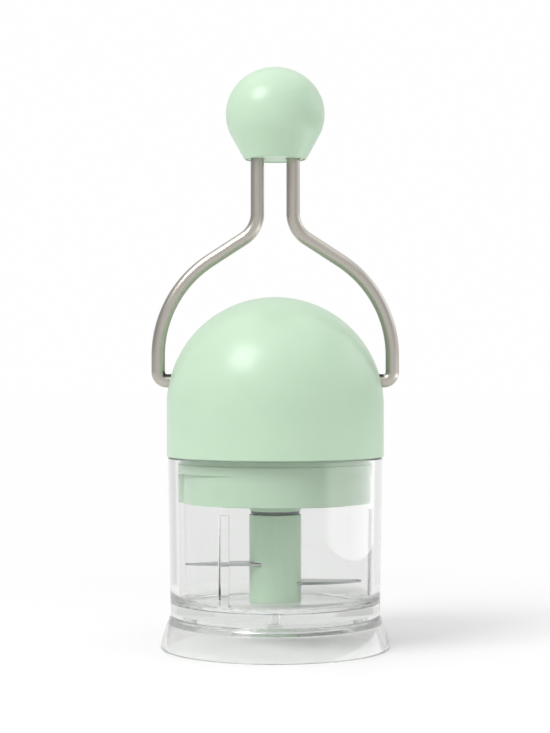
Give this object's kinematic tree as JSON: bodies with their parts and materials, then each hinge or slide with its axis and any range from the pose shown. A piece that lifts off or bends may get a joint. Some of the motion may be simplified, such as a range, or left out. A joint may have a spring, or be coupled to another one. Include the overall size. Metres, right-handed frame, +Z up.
{
  "type": "garlic chopper",
  "caption": "Hand cranked garlic chopper: clear ribbed cup on a flared foot, domed lid with a bevel gear and ratchet drive, blades on a post, and a rocking wire handle with a ball knob.",
  "frame": {"origin": "centre of the foot's bottom face, on the surface that it stands on", "axes": "+Z up along the dome's axis, -Y the front, +X to the right as seen from the front; the handle's axis is along X"},
  "size_m": [0.0914, 0.0846, 0.2138],
  "materials": {
    "clear_plastic": "clear, polished",
    "mint_plastic": "mint green, satin gloss",
    "wire_steel": "satin stainless",
    "blade_steel": "ground stainless",
    "acetal": "natural white, moulded",
    "nylon": "dark grey, moulded",
    "plated_steel": "zinc plated"
  },
  "bodies": {
    "cup": {"cup": "clear_plastic", "base_ring": "clear_plastic"},
    "lid": {"dome_shell": "mint_plastic", "collar": "mint_plastic", "gear_frame": "nylon", "frame_screw_front": "plated_steel", "frame_screw_rear": "plated_steel", "lid_screw_1": "plated_steel", "lid_screw_2": "plated_steel", "lid_screw_3": "plated_steel", "lid_screw_4": "plated_steel", "pivot_bush_left": "acetal", "pivot_bush_right": "acetal", "spindle_bush_lower": "nylon", "spindle_bush_upper": "acetal"},
    "handle": {"handle_wire": "wire_steel", "knob_shell": "mint_plastic", "knob_plug": "mint_plastic", "drive_gear": "acetal"},
    "driver": {"pinion": "acetal", "pawl_pin_front": "plated_steel", "pawl_pin_rear": "plated_steel", "pawl_spring_front": "plated_steel", "pawl_spring_rear": "plated_steel"},
    "front_pawl": {"pawl_front": "plated_steel"},
    "rear_pawl": {"pawl_rear": "plated_steel"},
    "spindle": {"spindle": "plated_steel", "ratchet_wheel": "plated_steel", "spindle_clip": "plated_steel"},
    "blade_unit": {"blade_hub": "mint_plastic", "blade_upper": "blade_steel", "blade_lower": "blade_steel"}
  },
  "joints": [
    {"name": "lid_lift", "type": "slide", "parent": "cup", "child": "lid", "axis": [0, 0, 1], "range_m": [0, 0.04]},
    {"name": "handle_rock", "type": "hinge", "parent": "lid", "child": "handle", "pos_m": [0, 0, 0.0981], "axis": [1, 0, 0], "range_deg": [-60, 60]},
    {"name": "driver_turn", "type": "hinge", "parent": "lid", "child": "driver", "pos_m": [0, 0, 0.0735], "axis": [0, 0, 1], "range_deg": [-180, 180]},
    {"name": "front_pawl_lift", "type": "hinge", "parent": "driver", "child": "front_pawl", "pos_m": [0, -0.0108, 0.0685], "axis": [0, 0, 1], "range_deg": [0, 12], "stiffness_Nm_per_rad": 0.002, "springref_deg": -5.73},
    {"name": "rear_pawl_lift", "type": "hinge", "parent": "driver", "child": "rear_pawl", "pos_m": [0, 0.0108, 0.0685], "axis": [0, 0, 1], "range_deg": [0, 12], "stiffness_Nm_per_rad": 0.002, "springref_deg": -5.73},
    {"name": "ratchet_overrun", "type": "hinge", "parent": "driver", "child": "spindle", "pos_m": [0, 0, 0.0685], "axis": [0, 0, 1], "continuous": true},
    {"name": "blade_release", "type": "slide", "parent": "spindle", "child": "blade_unit", "axis": [0, 0, -1], "range_m": [0, 0.04]}
  ],
  "couplings": [
    {"joint": "driver_turn", "follows": "handle_rock", "ratio": -3},
    {"joint": "blade_release", "follows": "lid_lift", "ratio": 1}
  ]
}
